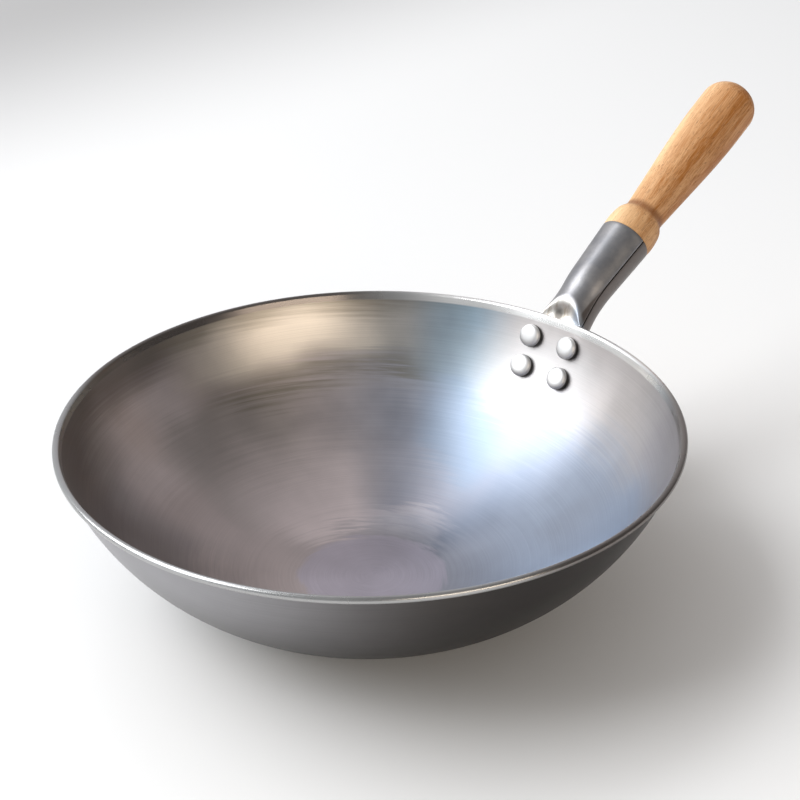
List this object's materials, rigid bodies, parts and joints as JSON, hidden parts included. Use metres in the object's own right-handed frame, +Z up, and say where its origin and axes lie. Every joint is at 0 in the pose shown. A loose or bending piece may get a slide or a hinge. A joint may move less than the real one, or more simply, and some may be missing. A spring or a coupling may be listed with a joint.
{
  "type": "wok",
  "caption": "Round-sided steel wok with a small flat base and a rolled rim, a sheet-steel handle socket riveted to the wall, and a turned beech grip that rises from the rim.",
  "frame": {"origin": "middle of the flat base, on the surface that the wok stands on", "axes": "+Z up out of the bowl's mouth, +X out along the handle; the handle's middle plane is the XZ plane"},
  "size_m": [0.554, 0.3558, 0.2116],
  "materials": {
    "bowl_steel": "spun, fine rings round the bowl's axis, faint heat tint",
    "socket_steel": "satin, as rolled",
    "rivet_steel": "bright satin",
    "nail_steel": "plain",
    "beech": "smooth turned beech with a thin clear coat"
  },
  "bodies": {
    "root": {"wok_bowl": "bowl_steel", "handle_socket": "socket_steel", "handle_grip": "beech", "rivet_1": "rivet_steel", "rivet_2": "rivet_steel", "rivet_3": "rivet_steel", "rivet_4": "rivet_steel", "retaining_nail": "nail_steel"}
  },
  "joints": []
}
